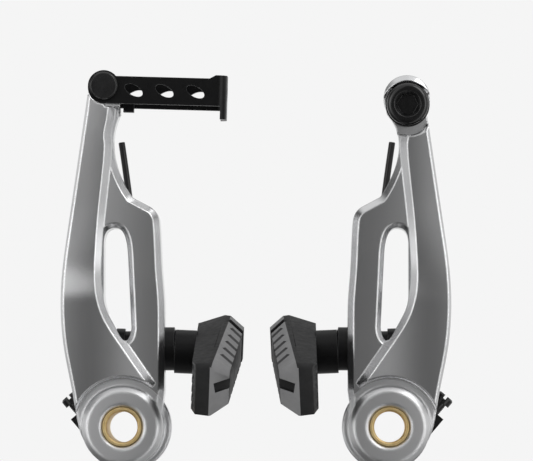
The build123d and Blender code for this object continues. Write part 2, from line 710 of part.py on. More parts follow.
def pad_notches():
    """Row of short grooves along the pad's back, at its nose."""
    groove = Rot(90, 0, 0) * Cylinder(NOTCH_R, NOTCH_LENGTH)
    lowest = -NOTCH_PITCH * (NOTCH_COUNT - 1) / 2
    middle_y = NOTCH_LENGTH / 2 - PAD_NOSE
    return [Pos(0, middle_y, lowest + index * NOTCH_PITCH) * groove for index in range(NOTCH_COUNT)]


def pad_place():
    """Place of the pad: nose pitched down about the stud axis."""
    return stud_frame() * Rot(PAD_PITCH, 0, 0) * Pos(PAD_BACK, 0, 0)


def brake_pad():
    """Pad moulded in one piece round the stud's foot, tapered from tail to nose."""
    tail = pad_section(PAD_TAIL_THICK, PAD_TAIL_RIDGE, PAD_TAIL_RIDGE_WIDTH, PAD_TAIL_BACK_HALF)
    nose = pad_section(PAD_NOSE_THICK, PAD_NOSE_RIDGE, PAD_NOSE_RIDGE_WIDTH, PAD_NOSE_BACK_HALF)
    pad = loft([Plane.XZ.offset(-PAD_TAIL) * tail, Plane.XZ.offset(PAD_NOSE) * nose], ruled=True)
    pad = pad - pad_end_cuts() - pad_ribs() - pad_slots() - pad_notches()
    return pad_place() * (pad - along_x(-CUT_PAST, PAD_SOCKET_DEPTH, PAD_SOCKET_R))


def link_frame():
    """Place of the cable link: local X runs from its pivot pin towards the cable seat."""
    return Pos(PIN_U, 0, PIN_Z) * Rot(0, LINK_DROP, 0)


def link_cheek(drop, hole_drop, hole_slant):
    """Side view of one cheek: its lower edge and its row of slanted holes are lowered."""
    top = LINK_HALF_HEIGHT - LINK_AXIS_DROP
    bottom = -LINK_HALF_HEIGHT - LINK_AXIS_DROP - drop
    lip_bottom = -LINK_HALF_HEIGHT - LINK_AXIS_DROP - LINK_LIP_DROP
    lip_start = LINK_REACH - LINK_LIP_WIDTH
    bump_start = LINK_REACH - LINK_BUMP_FLAT
    cheek = make_face(Polyline(
        (0, bottom), (lip_start, bottom), (lip_start, lip_bottom), (LINK_REACH, lip_bottom),
        (LINK_REACH, top + LINK_BUMP_RISE), (bump_start, top + LINK_BUMP_RISE),
        (bump_start - LINK_BUMP_SLOPE, top), (0, top), close=True,
    ))
    cheek += disc(0, 0, LINK_END_R)
    cheek += disc(0, bottom + LINK_END_R, LINK_END_R)
    hole = Rot(0, 0, hole_slant) * Ellipse(LINK_HOLE_LONG / 2, LINK_HOLE_SHORT / 2)
    for index in range(LINK_HOLE_COUNT):
        cheek -= Pos(LINK_HOLE_FIRST + index * LINK_HOLE_PITCH, -LINK_AXIS_DROP - hole_drop) * hole
    return cheek - Circle(PIN_R + RUNNING_GAP)


def cable_link():
    """Folded sheet link: two cheeks joined by an end wall with a keyhole for the cable guide."""
    back = LINK_EYE_BACK - LINK_SIDE_GAP - LINK_SHEET
    front = LINK_EYE_FRONT + LINK_SIDE_GAP + LINK_SHEET
    depth = front - back
    middle = (front + back) / 2
    overhang = 2 * LINK_END_R + LINK_REACH
    outer = Pos(LINK_REACH - overhang / 2, -middle) * Rectangle(overhang, depth)
    inner = Pos(LINK_REACH - LINK_SHEET - overhang / 2, -middle) * Rectangle(overhang, depth - 2 * LINK_SHEET)
    outer = fillet(outer.vertices().group_by(Axis.X)[-1], LINK_BEND_R)
    inner = fillet(inner.vertices().group_by(Axis.X)[-1], LINK_BEND_R - LINK_SHEET)
    folded = extrude(Pos(0, 0, -LINK_REACH) * (outer - inner), 2 * LINK_REACH)
    front_half = slab(link_cheek(0, 0, -LINK_HOLE_SLANT), middle, front)
    back_half = slab(link_cheek(LINK_BACK_DROP, LINK_BACK_HOLE_DROP, LINK_HOLE_SLANT), back, middle)
    link = folded & (front_half + back_half)
    tab_foot = -LINK_AXIS_DROP - LINK_HALF_HEIGHT - LINK_BACK_DROP
    tab = Pos(STOP_TAB_START + STOP_TAB_WIDTH / 2, tab_foot) * Rectangle(STOP_TAB_WIDTH, 2 * STOP_TAB_DROP)
    link += slab(tab, back, back + STOP_TAB_DEPTH)
    key = Pos(-middle, -LINK_AXIS_DROP) * Circle(SEAT_HOLE_R)
    key += Pos(-middle, LINK_END_R) * Rectangle(SEAT_SLOT_WIDTH, 2 * LINK_END_R)
    link -= bar_x(LINK_REACH - 2 * LINK_SHEET, LINK_REACH + CUT_PAST, key)
    return link_frame() * link


def link_pin():
    """Rivet pin with a flat round cap, and its peened tail behind the link."""
    front = LINK_EYE_FRONT + LINK_SIDE_GAP + LINK_SHEET + RUNNING_GAP
    back = LINK_EYE_BACK - LINK_SIDE_GAP - LINK_SHEET - RUNNING_GAP
    cap = slab(disc(PIN_U, PIN_Z, PIN_CAP_R), front, front + PIN_CAP_THICK)
    cap = chamfer(cap.faces().sort_by(Axis.Y)[0].edges(), PIN_CAP_BEVEL)
    tail = slab(disc(PIN_U, PIN_Z, PIN_TAIL_R), back - PIN_TAIL, back)
    return cap + slab(disc(PIN_U, PIN_Z, PIN_R), back, front) + tail


def anchor_bolt():
    """Socket-head bolt that clamps the cable, with a rounded edge and a countersunk socket."""
    head_rear = ANCHOR_FLOOR + ANCHOR_WASHER_THICK
    head_front = head_rear + ANCHOR_HEAD_HEIGHT
    socket_r = ANCHOR_SOCKET_FLATS / 2
    countersink_floor = head_front - ANCHOR_COUNTERSINK_R + socket_r
    bolt = turned([
        (0, ANCHOR_TIP_DEPTH),
        (ANCHOR_SHANK_R, ANCHOR_TIP_DEPTH),
        (ANCHOR_SHANK_R, head_rear),
        (ANCHOR_HEAD_R, head_rear),
        (ANCHOR_HEAD_R, head_front),
        (ANCHOR_COUNTERSINK_R, head_front),
        (socket_r, countersink_floor),
        (0, countersink_floor),
    ])
    rim = max(bolt.faces().sort_by(Axis.Y)[0].edges(), key=lambda edge: edge.length)
    bolt = fillet(rim, ANCHOR_HEAD_EDGE)
    socket = RegularPolygon(socket_r, 6, major_radius=False)
    bolt -= slab(socket, head_front - ANCHOR_SOCKET_DEPTH, head_front)
    return Pos(ANCHOR_U, 0, ANCHOR_Z) * bolt


def anchor_washer():
    """Thick washer under the anchor bolt's head."""
    ring = Circle(ANCHOR_WASHER_R) - Circle(ANCHOR_SHANK_R + RUNNING_GAP)
    return slab(Pos(ANCHOR_U, ANCHOR_Z) * ring, ANCHOR_FLOOR, ANCHOR_FLOOR + ANCHOR_WASHER_THICK)


def side_pieces():
    """Pieces that both sides share, in the left side's own frame."""
    return {
        "bushing": bushing(),
        "spring_carrier": spring_carrier(),
        "tension_screw": tension_screw(),
        "spring": return_spring(),
        "spring_peg": spring_peg(),
        "pad_stud": pad_stud(),
        "pad": brake_pad(),
        **pad_washers(),
    }


def place(shape, side):
    """Left side's shape moved to its pivot, or mirrored to the right side's."""
    if side == "right":
        shape = mirror(shape, about=Plane.YZ)
    offset = PIVOT_SPAN / 2 if side == "right" else -PIVOT_SPAN / 2
    return Pos(offset, 0, 0) * shape


def all_nodes():
    """Every piece of the brake, by node name."""
    cuts = arm_cuts()
    nodes = {
        "left_arm": place(left_eye(arm_blank("left") - cuts), "left"),
        "right_arm": place(right_eye(arm_blank("right") - cuts), "right"),
        "cable_link": place(cable_link(), "left"),
        "link_pin": place(link_pin(), "left"),
        "anchor_bolt": place(anchor_bolt(), "right"),
        "anchor_washer": place(anchor_washer(), "right"),
    }
    for name, shape in side_pieces().items():
        for side in SIDES:
            nodes[f"{side}_{name}"] = place(shape, side)
    return nodes


os.makedirs("parts", exist_ok=True)
for node_name, node_shape in all_nodes().items():
    export_step(node_shape, f"parts/{node_name}.step")
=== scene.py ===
import json
import math

import bmesh
import bpy
from mathutils import Matrix, Vector


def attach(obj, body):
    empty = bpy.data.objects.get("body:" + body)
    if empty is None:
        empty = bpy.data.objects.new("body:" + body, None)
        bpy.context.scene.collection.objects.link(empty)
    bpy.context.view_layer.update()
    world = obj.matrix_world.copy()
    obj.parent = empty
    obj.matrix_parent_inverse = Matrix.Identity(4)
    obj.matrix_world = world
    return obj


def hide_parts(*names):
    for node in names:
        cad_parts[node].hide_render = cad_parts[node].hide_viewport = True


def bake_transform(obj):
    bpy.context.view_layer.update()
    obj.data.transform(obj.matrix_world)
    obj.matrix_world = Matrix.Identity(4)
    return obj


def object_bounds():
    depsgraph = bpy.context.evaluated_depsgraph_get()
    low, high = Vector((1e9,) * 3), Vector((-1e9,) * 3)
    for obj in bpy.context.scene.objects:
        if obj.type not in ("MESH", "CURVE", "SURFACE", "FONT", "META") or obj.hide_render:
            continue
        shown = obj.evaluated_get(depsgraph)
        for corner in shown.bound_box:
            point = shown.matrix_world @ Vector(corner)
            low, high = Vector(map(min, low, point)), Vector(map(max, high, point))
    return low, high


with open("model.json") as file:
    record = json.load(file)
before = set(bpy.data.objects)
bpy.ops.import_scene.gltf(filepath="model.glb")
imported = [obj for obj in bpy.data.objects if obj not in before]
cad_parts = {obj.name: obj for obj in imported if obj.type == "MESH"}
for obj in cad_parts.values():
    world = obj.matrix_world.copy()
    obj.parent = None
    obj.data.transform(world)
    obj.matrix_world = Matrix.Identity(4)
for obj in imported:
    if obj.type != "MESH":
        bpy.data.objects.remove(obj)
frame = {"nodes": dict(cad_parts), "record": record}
cad_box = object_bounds()
SIDES = {"left": 1, "right": -1}

# Places and sizes of the brake, in metres, from a side's pivot inward, back and up
PIVOT_X = 0.035
WELD = 1e-6

# Return spring
WIRE_R = 0.00086
WIRE_SIDES = 16
WIRE_DOME = 0.3
WIRE_CREASE = math.radians(50)
COIL_R = 0.0072
COIL_TURNS = 1.75
COIL_REAR = 0.0042
COIL_PITCH = 0.00175
COIL_STEPS = 98
LEG_TIP = (0.0, 0.0753)
LEG_STEPS = 24
LEG_BOW = 0.0008
LEG_BOW_FROM = 0.7
TAIL_LENGTH = 0.0026
TAIL_BEND = 0.0009
TAIL_STEPS = 3

# Tension screw
SCREW_HEAD = (-0.0152, -0.0025, 0.0082)
SCREW_AXIS = (0.649448, 0.0, -0.760406)
THREAD_START = 0.0026
THREAD_LENGTH = 0.0026
THREAD_R = 0.0015
THREAD_PITCH = 0.0005
THREAD_HEIGHT = 0.26
THREAD_STEPS = 24
THREAD_SIDES = 6

# Pad
STUD = (0.0067, -0.0132, 0.0202)
STUD_AXIS = (0.999048, 0.0, -0.043619)
PAD_BACK = 0.0124
PAD_PITCH = math.radians(17.6)
PAD_TAIL = 0.012
PAD_NOSE = 0.033
PAD_THICK = (0.0123, 0.0096)
PAD_RIDGE = (0.0086, 0.0052)
PAD_RIDGE_HALF = 0.007
PAD_FRICTION_HALF = 0.0043
PAD_NOSE_CUT = ((0.0047, -0.033), (0.0123, -0.029))
PAD_NOSE_ROUND = 0.0022
PAD_FLAT = math.radians(2)
PAD_CREASE = math.radians(32)
BROW_CREASE = math.radians(25)
BROW_FROM = (0.001, 0.0045, 0.003)
BROW_SLOPE = 0.6
MOULD_EDGE = 0.00022
MOULD_CREASE = math.radians(18)
FRICTION_FACING = 0.97
COMPOUND_FACING = 0.12
COMPOUND_LIP = 0.0002
COMPOUND_SKIN = 0.00005
GROOVE_DEPTH = 0.00055

# Forged arm
RAISED_FRONT = -0.0215
LEG_FRONT = -0.0208
STRUT_FRONT = -0.0228
ARM_CREASE = math.radians(24)
ARM_EDGE = 0.0006
BOSS_REACH = 0.0125
BOSS_EDGE = 0.0012
BOSS_ROUGHNESS = 0.34
RIDGE_SHIFT = (0.03, 0.06)
STRUT_TOP = (-0.0096, 0.084)
NECK_TOP = (-0.0007, 0.0822)
STRUT_LEAN = 0.137
HEAD_FOOT = 0.0785
HEAD_CUT = 0.0005
HEAD_BACK = -0.01905
HEAD_BAND = 0.0009
HEAD_SPAN = (-0.05, 1.02)
HEAD_STEPS = 18
RECESS = (-0.0048, 0.0838)
RECESS_R = 0.0068
RECESS_FLOOR = -0.0174
RECESS_DROP = 0.0008
RECESS_SPAN = (-0.0048, 0.0035)
RECESS_FADE = 10
RECESS_EDGE = 0.0002
RIM_DEPTH = 0.001
HOOD_FOOT = 0.0855
HOOD_TOP = 0.0895
HOOD_LEAN = 0.0008
LINK_PIN = (-0.005, 0.0895)
LINK_CLEAR = 0.0046
LINK_ARC = 0.85
LINK_UNDERSIDE = 0.0842
RAMP_FOOT = 0.0325
RAMP_TOP = 0.046
RAMP_END = 0.078
RAMP_DEPTH = 0.0007
RAMP_STEPS = 18
RAMP_END_STEPS = 10


def share_of(value, start, end):
    """How far a value is from start to end, held between 0 and 1."""
    return min(1.0, max(0.0, (value - start) / (end - start)))


def on_side(side, point):
    """Point given from a side's pivot, inward, back and up, in the frame of the brake."""
    x, y, z = point
    return Vector((SIDES[side] * (x - PIVOT_X), y, z))


def along_side(side, direction):
    """Direction given inward, back and up on a side, in the frame of the brake."""
    x, y, z = direction
    return Vector((SIDES[side] * x, y, z))


# Shader groups

def add(tree, kind, links=None, **settings):
    """Node with its settings, and its inputs linked to sockets or set to values."""
    node = tree.nodes.new("ShaderNode" + kind)
    for name, value in settings.items():
        setattr(node, name, value)
    for name, source in (links or {}).items():
        if isinstance(source, bpy.types.NodeSocket):
            tree.links.new(source, node.inputs[name])
        else:
            node.inputs[name].default_value = source
    return node


def ranged(tree, value, start, end, low=0.0, high=1.0, **settings):
    """Value carried from one range over to another, and held at its ends."""
    links = {"Value": value, "From Min": start, "From Max": end, "To Min": low, "To Max": high}
    return add(tree, "MapRange", links, **settings).outputs["Result"]


def feed(tree, shader, **sources):
    """Links sockets to the inputs of a shader that they are named for."""
    for label, source in sources.items():
        tree.links.new(source, shader.inputs[label.replace("_", " ")])


def group(name, inputs, outputs):
    """Empty shader group with named inputs (with their usual values) and outputs."""
    tree = bpy.data.node_groups.new(name, "ShaderNodeTree")
    for label, value in inputs.items():
        kind = "NodeSocketVector" if isinstance(value, tuple) else "NodeSocketFloat"
        tree.interface.new_socket(label, in_out="INPUT", socket_type=kind).default_value = value
    for label in outputs:
        tree.interface.new_socket(label, in_out="OUTPUT", socket_type="NodeSocketFloat")
    return tree, tree.nodes.new("NodeGroupInput").outputs, tree.nodes.new("NodeGroupOutput").inputs


def mottle_group():
    """Soft blotches of polish or handling, from Low to High."""
    tree, given, result = group("Mottle", {"Scale": 120.0, "Low": 0.0, "High": 1.0}, ["Value"])
    place = add(tree, "TexCoord").outputs["Object"]
    noise = add(tree, "TexNoise", {
        "Vector": place, "Scale": given["Scale"], "Detail": 4.0, "Roughness": 0.6,
    })
    spread = ranged(tree, noise.outputs[0], 0.3, 0.7, given["Low"], given["High"])
    tree.links.new(spread, result["Value"])
    return tree


def polish_lines_group():
    """Fine streaks left by polishing, drawn out along one direction."""
    tree, given, result = group("Polish Lines", {"Stretch": (1500.0, 1500.0, 70.0)}, ["Value"])
    place = add(tree, "TexCoord").outputs["Object"]
    drawn = add(tree, "VectorMath", {0: place, 1: given["Stretch"]}, operation="MULTIPLY")
    noise = add(tree, "TexNoise", {
        "Vector": drawn.outputs[0], "Scale": 1.0, "Detail": 3.0, "Roughness": 0.55,
    })
    tree.links.new(noise.outputs[0], result["Value"])
    return tree


def edge_wear_group():
    """Mask of the outer edges, broken up where the finish has rubbed through."""
    tree, given, result = group("Edge Wear", {"Width": 0.0004, "Breakup": 900.0}, ["Mask"])
    rounded = add(tree, "Bevel", {"Radius": given["Width"]}, samples=6)
    flat = add(tree, "NewGeometry").outputs["Normal"]
    bend = add(tree, "VectorMath", {0: rounded.outputs[0], 1: flat}, operation="DOT_PRODUCT")
    edge = ranged(tree, bend.outputs["Value"], 0.995, 0.86)
    place = add(tree, "TexCoord").outputs["Object"]
    noise = add(tree, "TexNoise", {"Vector": place, "Scale": given["Breakup"], "Detail": 3.0})
    broken = ranged(tree, noise.outputs[0], 0.35, 0.65, 0.35)
    mask = add(tree, "Math", {0: edge, 1: broken}, operation="MULTIPLY")
    tree.links.new(mask.outputs[0], result["Mask"])
    return tree


def turned_rings_group():
    """Fine rings left by a lathe round an axis along Y."""
    inputs = {"Centre": (0.0, 0.0, 0.0), "Pitch": 0.00025}
    tree, given, result = group("Turned Rings", inputs, ["Height"])
    place = add(tree, "TexCoord").outputs["Object"]
    apart = add(tree, "VectorMath", {0: place, 1: given["Centre"]}, operation="SUBTRACT")
    flat = add(tree, "VectorMath", {0: apart.outputs[0], 1: (1.0, 0.0, 1.0)}, operation="MULTIPLY")
    radius = add(tree, "VectorMath", {0: flat.outputs[0]}, operation="LENGTH")
    turns = add(tree, "Math", {0: radius.outputs["Value"], 1: given["Pitch"]}, operation="DIVIDE")
    angle = add(tree, "Math", {0: turns.outputs[0], 1: 2 * math.pi}, operation="MULTIPLY")
    wave = add(tree, "Math", {0: angle.outputs[0]}, operation="SINE")
    tree.links.new(wave.outputs[0], result["Height"])
    return tree


def grain_group():
    """Fine grain of a moulded or blasted surface."""
    tree, given, result = group("Grain", {"Scale": 2500.0}, ["Height"])
    place = add(tree, "TexCoord").outputs["Object"]
    noise = add(tree, "TexNoise", {
        "Vector": place, "Scale": given["Scale"], "Detail": 2.0, "Roughness": 0.5,
    })
    tree.links.new(noise.outputs[0], result["Height"])
    return tree


def forged_crown_group():
    """Slight crown across a forged face, from its ridge outward, the same on both arms."""
    inputs = {"Low Ridge": 0.0, "High Ridge": 0.0, "Radius": 0.1}
    tree, given, result = group("Forged Crown", inputs, ["Height"])
    place = add(tree, "SeparateXYZ", {0: add(tree, "TexCoord").outputs["Object"]}).outputs
    apart = add(tree, "Math", {0: place["X"]}, operation="ABSOLUTE")
    inward = add(tree, "Math", {0: PIVOT_X, 1: apart.outputs[0]}, operation="SUBTRACT")
    ridge = ranged(
        tree, place["Z"], *RIDGE_SHIFT, given["Low Ridge"], given["High Ridge"],
        interpolation_type="SMOOTHSTEP",
    )
    across = add(tree, "Math", {0: inward.outputs[0], 1: ridge}, operation="SUBTRACT")
    square = add(tree, "Math", {0: across.outputs[0], 1: 2.0}, operation="POWER")
    fall = add(tree, "Math", {0: square.outputs[0], 1: given["Radius"]}, operation="DIVIDE")
    half = add(tree, "Math", {0: fall.outputs[0], 1: -0.5}, operation="MULTIPLY")
    tree.links.new(half.outputs[0], result["Height"])
    return tree


MOTTLE = mottle_group()
FORGED_CROWN = forged_crown_group()
POLISH_LINES = polish_lines_group()
EDGE_WEAR = edge_wear_group()
TURNED_RINGS = turned_rings_group()
GRAIN = grain_group()


def placed(tree, shared, **values):
    """A shared group placed in a material with its own values."""
    node = add(tree, "Group", node_tree=shared)
    for name, value in values.items():
        node.inputs[name.replace("_", " ")].default_value = value
    return node.outputs


# Materials

def finish_of(name, **sockets):
    """New material with a principled shader, whose plain values are set on its own sockets."""
    material = bpy.data.materials.new(name)
    material.use_nodes = True
    tree = material.node_tree
    shader = tree.nodes["Principled BSDF"]
    for label, value in sockets.items():
        shader.inputs[label.replace("_", " ")].default_value = value
    return material, tree, shader


def blend_colours(tree, mask, low, high):
    """Colour between two, by a mask."""
    mix = add(tree, "Mix", {"Factor": mask}, data_type="RGBA")
    mix.inputs["A"].default_value = (*low, 1.0)
    mix.inputs["B"].default_value = (*high, 1.0)
    return mix.outputs["Result"]


def soften(tree, shader, radius, height, strength, distance):
    """Rounds the edges in shading, and raises the fine relief."""
    rounded = add(tree, "Bevel", {"Radius": radius}, samples=6)
    bump = add(tree, "Bump", {
        "Strength": strength, "Distance": distance, "Height": height, "Normal": rounded.outputs[0],
    })
    feed(tree, shader, Normal=bump.outputs[0])


def polished_forging():
    """Forged aluminium, polished along the arm, with a slight crown on its front faces."""
    material, tree, shader = finish_of("polished_forging", Metallic=1.0)
    blotches = placed(tree, MOTTLE, Scale=60.0)["Value"]
    lines = placed(tree, POLISH_LINES)["Value"]
    colour = blend_colours(tree, blotches, (0.77, 0.775, 0.785), (0.82, 0.82, 0.825))
    rough = ranged(tree, lines, 0.3, 0.7, 0.19, 0.205)
    place = add(tree, "TexCoord").outputs["Object"]
    facing = add(tree, "SeparateXYZ", {0: add(tree, "NewGeometry").outputs["True Normal"]}).outputs["Y"]
    front = add(tree, "Math", {0: facing, 1: -0.98}, operation="LESS_THAN")
    mirrored = add(tree, "VectorMath", {0: place}, operation="ABSOLUTE").outputs[0]
    pivot = (PIVOT_X, 0.0, 0.0)
    from_pivot = add(tree, "VectorMath", {0: mirrored, 1: pivot}, operation="SUBTRACT").outputs[0]
    flat = add(tree, "VectorMath", {0: from_pivot, 1: (1.0, 0.0, 1.0)}, operation="MULTIPLY")
    reach = add(tree, "VectorMath", {0: flat.outputs[0]}, operation="LENGTH")
    past_boss = add(
        tree, "Math", {0: reach.outputs["Value"], 1: BOSS_REACH}, operation="GREATER_THAN",
    ).outputs[0]
    dull = add(tree, "Mix", {"Factor": past_boss, "A": BOSS_ROUGHNESS, "B": rough}, data_type="FLOAT")
    depth = add(tree, "SeparateXYZ", {0: place}).outputs["Y"]
    raised = add(tree, "Math", {0: depth, 1: RAISED_FRONT}, operation="LESS_THAN")
    on_strut = add(tree, "Math", {0: past_boss, 1: raised.outputs[0]}, operation="MULTIPLY")
    leg = placed(tree, FORGED_CROWN, Low_Ridge=0.010, High_Ridge=0.010, Radius=0.2)["Height"]
    strut = placed(tree, FORGED_CROWN, Low_Ridge=-0.011, High_Ridge=-0.002, Radius=0.1)["Height"]
    crown = add(tree, "Mix", {"Factor": on_strut.outputs[0], "A": leg, "B": strut}, data_type="FLOAT")
    height = add(tree, "Math", {0: crown.outputs["Result"], 1: front.outputs[0]}, operation="MULTIPLY")
    edge = add(tree, "Mix", {"Factor": past_boss, "A": BOSS_EDGE, "B": ARM_EDGE}, data_type="FLOAT")
    rounded = add(tree, "Bevel", {"Radius": edge.outputs["Result"]}, samples=6)
    form = add(tree, "Bump", {
        "Strength": 1.0, "Distance": 1.0, "Height": height.outputs[0], "Normal": rounded.outputs[0],
    })
    fine = add(tree, "Bump", {
        "Strength": 0.006, "Distance": 0.0001, "Height": lines, "Normal": form.outputs[0],
    })
    feed(tree, shader, Base_Color=colour, Roughness=dull.outputs["Result"], Normal=fine.outputs[0])
    return material


def turned_brass(name, side):
    """Brass of the bushings, turned on a lathe."""
    material, tree, shader = finish_of(name, Metallic=1.0)
    blotches = placed(tree, MOTTLE, Scale=400.0)["Value"]
    rings = placed(tree, TURNED_RINGS, Centre=tuple(on_side(side, (0, 0, 0))), Pitch=0.0003)["Height"]
    colour = blend_colours(tree, blotches, (0.80, 0.59, 0.27), (0.92, 0.72, 0.38))
    rough = placed(tree, MOTTLE, Scale=900.0, Low=0.4, High=0.52)["Value"]
    feed(tree, shader, Base_Color=colour, Roughness=rough)
    soften(tree, shader, radius=0.0002, height=rings, strength=0.15, distance=0.00005)
    return material


def black_finish(name, dark, worn, rough, edge, grain_scale, relief, **sockets):
    """Black finish with grain, uneven sheen and paler worn edges."""
    material, tree, shader = finish_of(name, **sockets)
    wear = placed(tree, EDGE_WEAR, Width=edge)["Mask"]
    colour = blend_colours(tree, wear, dark, worn)
    sheen = placed(tree, MOTTLE, Scale=500.0, Low=rough[0], High=rough[1])["Value"]
    feed(tree, shader, Base_Color=colour, Roughness=sheen)
    grain = placed(tree, GRAIN, Scale=grain_scale)["Height"]
    soften(tree, shader, radius=edge, height=grain, strength=relief, distance=0.0001)
    return material


def plated_steel():
    """Bright plated steel of the pad studs."""
    material, tree, shader = finish_of("plated_steel", Metallic=1.0)
    blotches = placed(tree, MOTTLE, Scale=300.0)["Value"]
    colour = blend_colours(tree, blotches, (0.50, 0.50, 0.51), (0.60, 0.60, 0.60))
    rough = placed(tree, MOTTLE, Scale=700.0, Low=0.25, High=0.4)["Value"]
    feed(tree, shader, Base_Color=colour, Roughness=rough)
    grain = placed(tree, GRAIN, Scale=3000.0)["Height"]
    soften(tree, shader, radius=0.0002, height=grain, strength=0.1, distance=0.00005)
    return material


def pad_rubber(name, low, high):
    """Moulded rubber with a dull bloom."""
    material, tree, shader = finish_of(name, Specular_IOR_Level=0.25)
    bloom = placed(tree, MOTTLE, Scale=220.0)["Value"]
    colour = blend_colours(tree, bloom, low, high)
    rough = placed(tree, MOTTLE, Scale=600.0, Low=0.5, High=0.66)["Value"]
    feed(tree, shader, Base_Color=colour, Roughness=rough)
    grain = placed(tree, GRAIN, Scale=2600.0)["Height"]
    soften(tree, shader, radius=0.0003, height=grain, strength=0.2, distance=0.0001)
    return material


FORGING = polished_forging()
BRASS = {side: turned_brass(side + "_turned_brass", side) for side in SIDES}
CARRIER_PLASTIC = black_finish(
    "carrier_plastic", dark=(0.006, 0.006, 0.0062), worn=(0.03, 0.03, 0.03), rough=(0.42, 0.55),
    edge=0.0003, grain_scale=2600.0, relief=0.25, Specular_IOR_Level=0.25,
)
BLACK_OXIDE = black_finish(
    "black_oxide", dark=(0.004, 0.004, 0.0042), worn=(0.06, 0.058, 0.056), rough=(0.15, 0.25),
    edge=0.00025, grain_scale=3200.0, relief=0.06, Specular_IOR_Level=0.65,
)
BLACK_ANODISED = black_finish(
    "black_anodised", dark=(0.004, 0.004, 0.0042), worn=(0.09, 0.09, 0.092), rough=(0.26, 0.36),
    edge=0.0002, grain_scale=3600.0, relief=0.12, Specular_IOR_Level=0.22,
)
SPRING_BLACK = black_finish(
    "spring_black", dark=(0.009, 0.008, 0.008), worn=(0.04, 0.04, 0.04), rough=(0.3, 0.42),
    edge=0.0002, grain_scale=2400.0, relief=0.12, Specular_IOR_Level=0.45,
)
PLATED = plated_steel()
RUBBER = pad_rubber("pad_rubber", (0.012, 0.012, 0.0125), (0.02, 0.02, 0.0205))
COMPOUND = pad_rubber("pad_compound", (0.18, 0.18, 0.182), (0.215, 0.215, 0.217))
# Darker copy of the grey compound for the faces in the pad's grooves: painted shade in the grooves.
COMPOUND_GROOVE_SHADE = pad_rubber("pad_compound_groove_painted_shade", (0.04, 0.04, 0.041), (0.06, 0.06, 0.061))
SLOT_FINISHES = {
    "forged_aluminium": FORGING, "black_plastic": CARRIER_PLASTIC, "black_steel": BLACK_OXIDE,
    "black_anodised": BLACK_ANODISED, "spring_wire": SPRING_BLACK, "bright_steel": PLATED,
    "pad_rubber": RUBBER,
}


def dress(obj, material):
    """Gives an object one material in place of those it has."""
    obj.data.materials.clear()
    obj.data.materials.append(material)


for part in frame["record"]["subparts"]:
    name, slot = part["node"], part["material_slot"]
    finish = BRASS[name.split("_")[0]] if slot == "brass" else SLOT_FINISHES[slot]
    dress(frame["nodes"][name], finish)


# Pieces made here

def new_piece(name, build, material, smooth=True):
    """Mesh object from a bmesh, smooth unless its faces say otherwise, with its finish."""
    mesh = bpy.data.meshes.new(name)
    bmesh.ops.recalc_face_normals(build, faces=build.faces)
    for face in build.faces:
        face.smooth = face.smooth or smooth
    build.to_mesh(mesh)
    build.free()
    piece = bpy.data.objects.new(name, mesh)
    bpy.context.scene.collection.objects.link(piece)
    dress(piece, material)
    return piece


def add_wire(build, points, radius, sides, dome):
    """Round wire along points, added to a bmesh, with ends that stand out by a share of its radius."""
    points = [Vector(point) for point in points]
    before, after = points[:1] + points[:-1], points[1:] + points[-1:]
    forward = [(high - low).normalized() for low, high in zip(before, after)]
    side = forward[0].orthogonal().normalized()
    stations = []
    for centre, ahead in zip(points, forward):
        side = (side - ahead * side.dot(ahead)).normalized()
        stations.append((centre, ahead, side, radius))
    curve = [(1.0, 1 - 0.55 * dome), (0.5, 1 - 0.2 * dome), (0.15, 1 - 0.05 * dome)]
    centre, ahead, side, _ = stations[0]
    head = [(centre - ahead * radius * dome * out, ahead, side, radius * width) for out, width in curve]
    centre, ahead, side, _ = stations[-1]
    foot = [
        (centre + ahead * radius * dome * out, ahead, side, radius * width) for out, width in curve[::-1]
    ]
    turns = [2 * math.pi * k / sides for k in range(sides)]
    rings = []
    for centre, ahead, side, size in head + stations + foot:
        across = ahead.cross(side)
        around = [side * math.cos(turn) + across * math.sin(turn) for turn in turns]
        rings.append([build.verts.new(centre + size * out) for out in around])
    for low, high in zip(rings, rings[1:]):
        for k in range(sides):
            build.faces.new((low[k], low[(k + 1) % sides], high[(k + 1) % sides], high[k]))
    build.faces.new(rings[0])
    build.faces.new(rings[-1])


def spring_path(side):
    """Centre line of a return spring: tail, coil, and leg up behind the arm."""
    tip_u, tip_z = LEG_TIP
    leg_angle = math.atan2(tip_z, tip_u) - math.acos(COIL_R / math.hypot(tip_u, tip_z))
    tail_angle = leg_angle - 2 * math.pi * COIL_TURNS
    path = []
    for step in range(TAIL_STEPS + 1):
        depth = COIL_REAR - TAIL_LENGTH + step * (TAIL_LENGTH - TAIL_BEND) / TAIL_STEPS
        path.append((COIL_R * math.cos(tail_angle), -depth, COIL_R * math.sin(tail_angle)))
    for step in range(2, COIL_STEPS - 1):
        share = step / COIL_STEPS
        angle = tail_angle + share * (leg_angle - tail_angle)
        depth = COIL_REAR + share * COIL_PITCH * COIL_TURNS
        path.append((COIL_R * math.cos(angle), -depth, COIL_R * math.sin(angle)))
    coil_front = -COIL_REAR - COIL_PITCH * COIL_TURNS
    foot = Vector((COIL_R * math.cos(leg_angle), coil_front, COIL_R * math.sin(leg_angle)))
    tip = Vector((tip_u, foot.y, tip_z))
    end = tip - (tip - foot).normalized() * WIRE_R * WIRE_DOME
    for step in range(LEG_STEPS + 1):
        bowed = share_of(step / LEG_STEPS, LEG_BOW_FROM, 1)
        path.append(foot.lerp(end, step / LEG_STEPS) - Vector((LEG_BOW * bowed ** 1.5, 0, 0)))
    return [on_side(side, point) for point in path]


def return_spring(side):
    """Wire spring with its tail by the post and its leg up behind the arm."""
    build = bmesh.new()
    add_wire(build, spring_path(side), WIRE_R, WIRE_SIDES, WIRE_DOME)
    spring = new_piece(side + "_spring_wire", build, SPRING_BLACK)
    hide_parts(side + "_spring")
    spring.data.set_sharp_from_angle(angle=WIRE_CREASE)
    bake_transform(spring)


